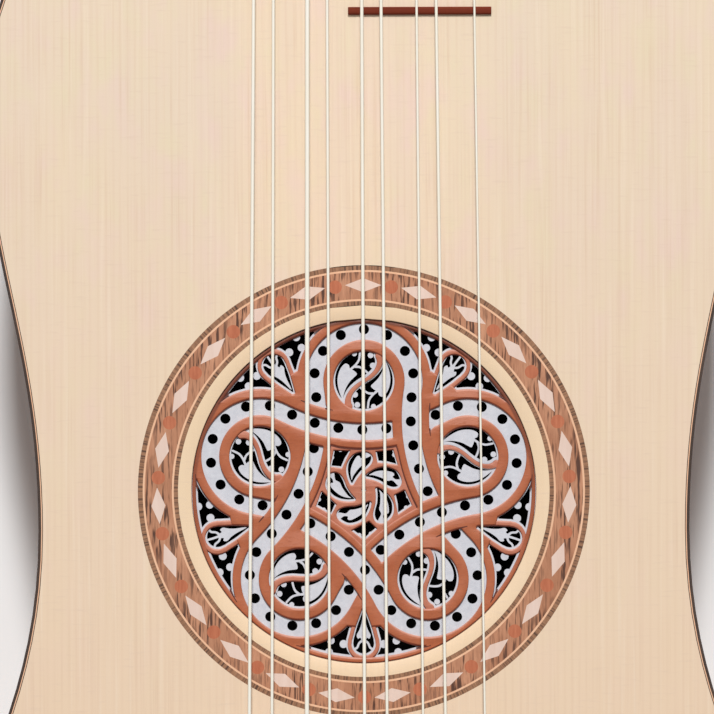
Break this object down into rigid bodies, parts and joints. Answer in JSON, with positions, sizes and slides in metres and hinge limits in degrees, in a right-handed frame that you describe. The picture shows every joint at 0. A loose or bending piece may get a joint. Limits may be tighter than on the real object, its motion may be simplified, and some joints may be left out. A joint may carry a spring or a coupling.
{
  "type": "baroque guitar",
  "caption": "Small five-course baroque guitar with a knotwork rose, inlaid ring, tied gut frets, tie bridge with scroll ends and friction pegs that turn.",
  "frame": {"origin": "on the outer face of the flat back, under the centre of the rose", "axes": "+Z out of the soundboard, +Y along the strings towards the head, +X towards the treble side"},
  "size_m": [0.244, 0.9717, 0.099],
  "materials": {
    "spruce_top": "satin",
    "rib_wood": "satin varnish",
    "neck_wood": "satin varnish",
    "binding": "satin",
    "walnut_band": "satin",
    "dark_line": "satin",
    "pale_inlay": "satin",
    "rose_wood": "satin",
    "parchment": "matte",
    "body_fret_wood": "satin",
    "ebony": "polished",
    "bone": "polished",
    "gut": "satin",
    "pine": "raw"
  },
  "bodies": {
    "root": {"soundboard": "spruce_top", "back": "rib_wood", "treble_rib": "rib_wood", "bass_rib": "rib_wood", "neck": "neck_wood", "head": "neck_wood", "top_binding": "binding", "back_binding": "binding", "rosette_band": "walnut_band", "rosette_inner_line": "dark_line", "rosette_outer_line": "dark_line", "rosette_inlays": "pale_inlay", "rose_tracery": "rose_wood", "rose_parchment": "parchment", "wooden_fret_12": "body_fret_wood", "wooden_fret_13": "body_fret_wood", "wooden_fret_14": "body_fret_wood", "fingerboard": "ebony", "head_veneer": "ebony", "bridge": "ebony", "moustache_treble": "ebony", "moustache_bass": "ebony", "end_button": "ebony", "wooden_fret_10": "ebony", "wooden_fret_11": "ebony", "nut": "bone", "string_5a": "gut", "string_5b": "gut", "string_4a": "gut", "string_4b": "gut", "string_3a": "gut", "string_3b": "gut", "string_2a": "gut", "string_2b": "gut", "string_1": "gut", "tied_fret_1": "gut", "tied_fret_2": "gut", "tied_fret_3": "gut", "tied_fret_4": "gut", "tied_fret_5": "gut", "tied_fret_6": "gut", "tied_fret_7": "gut", "tied_fret_8": "gut", "tied_fret_9": "gut", "neck_block": "pine", "tail_block": "pine", "soundboard_bar_1": "pine", "soundboard_bar_2": "pine", "back_bar_1": "pine", "back_bar_2": "pine", "back_bar_3": "pine"},
    "peg_5a_body": {"peg_5a": "ebony"},
    "peg_5b_body": {"peg_5b": "ebony"},
    "peg_4a_body": {"peg_4a": "ebony"},
    "peg_4b_body": {"peg_4b": "ebony"},
    "peg_3a_body": {"peg_3a": "ebony"},
    "peg_3b_body": {"peg_3b": "ebony"},
    "peg_2a_body": {"peg_2a": "ebony"},
    "peg_2b_body": {"peg_2b": "ebony"},
    "peg_1_body": {"peg_1": "ebony"}
  },
  "joints": [
    {"name": "peg_5a_turn", "type": "hinge", "parent": "root", "child": "peg_5a_body", "pos_m": [-0.028, 0.54323, 0.08185], "axis": [0, 0.2079, 0.9781], "continuous": true},
    {"name": "peg_5b_turn", "type": "hinge", "parent": "root", "child": "peg_5b_body", "pos_m": [-0.028, 0.57159, 0.07582], "axis": [0, 0.2079, 0.9781], "continuous": true},
    {"name": "peg_4a_turn", "type": "hinge", "parent": "root", "child": "peg_4a_body", "pos_m": [-0.028, 0.59996, 0.06979], "axis": [0, 0.2079, 0.9781], "continuous": true},
    {"name": "peg_4b_turn", "type": "hinge", "parent": "root", "child": "peg_4b_body", "pos_m": [-0.028, 0.62833, 0.06376], "axis": [0, 0.2079, 0.9781], "continuous": true},
    {"name": "peg_3a_turn", "type": "hinge", "parent": "root", "child": "peg_3a_body", "pos_m": [-0.028, 0.65669, 0.05773], "axis": [0, 0.2079, 0.9781], "continuous": true},
    {"name": "peg_3b_turn", "type": "hinge", "parent": "root", "child": "peg_3b_body", "pos_m": [0.028, 0.64251, 0.06074], "axis": [0, 0.2079, 0.9781], "continuous": true},
    {"name": "peg_2a_turn", "type": "hinge", "parent": "root", "child": "peg_2a_body", "pos_m": [0.028, 0.61414, 0.06677], "axis": [0, 0.2079, 0.9781], "continuous": true},
    {"name": "peg_2b_turn", "type": "hinge", "parent": "root", "child": "peg_2b_body", "pos_m": [0.028, 0.58578, 0.0728], "axis": [0, 0.2079, 0.9781], "continuous": true},
    {"name": "peg_1_turn", "type": "hinge", "parent": "root", "child": "peg_1_body", "pos_m": [0.028, 0.55741, 0.07883], "axis": [0, 0.2079, 0.9781], "continuous": true}
  ]
}
